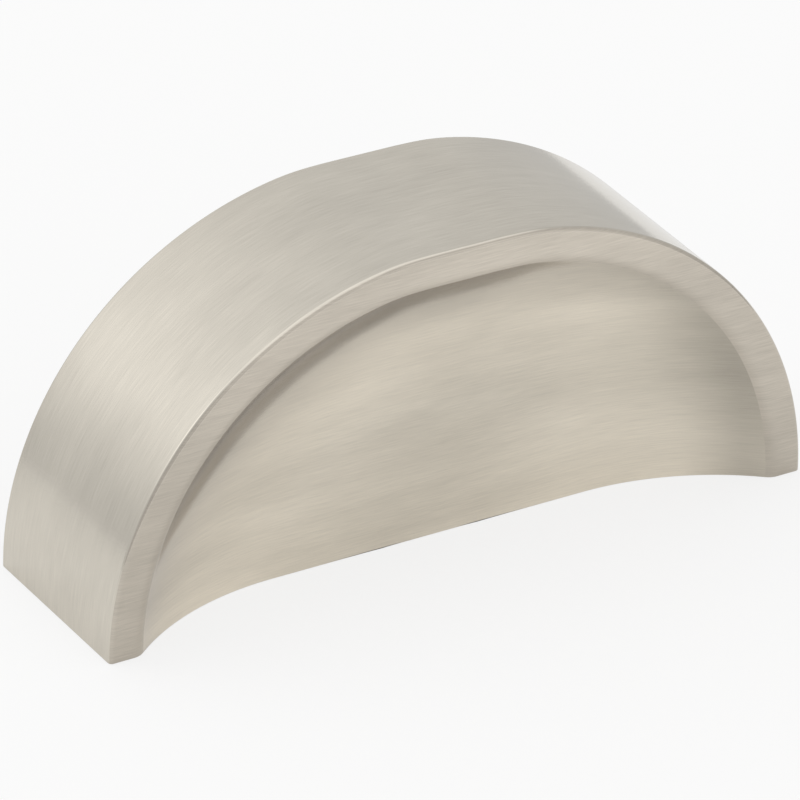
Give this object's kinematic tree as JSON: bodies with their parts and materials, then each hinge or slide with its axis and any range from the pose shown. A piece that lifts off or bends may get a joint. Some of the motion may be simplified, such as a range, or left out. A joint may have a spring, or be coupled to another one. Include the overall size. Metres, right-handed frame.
{
  "type": "arched cup pull",
  "caption": "Arched cup pull for a drawer front, with a wide outer band, a rounded rim, a dished front panel and an open hollow behind for the fingers.",
  "frame": {"origin": "middle of the bottom of the part's box, level with the feet, midway between the mounting face and the front of the rim", "axes": "+X along the length, +Y from the front through the mounting face at the back, +Z from the feet up to the crown"},
  "size_m": [0.088, 0.024, 0.0394],
  "materials": {
    "satin_nickel": "satin nickel plate, brushed along the band and across the front"
  },
  "bodies": {
    "root": {"pull_body": "satin_nickel"}
  },
  "joints": []
}
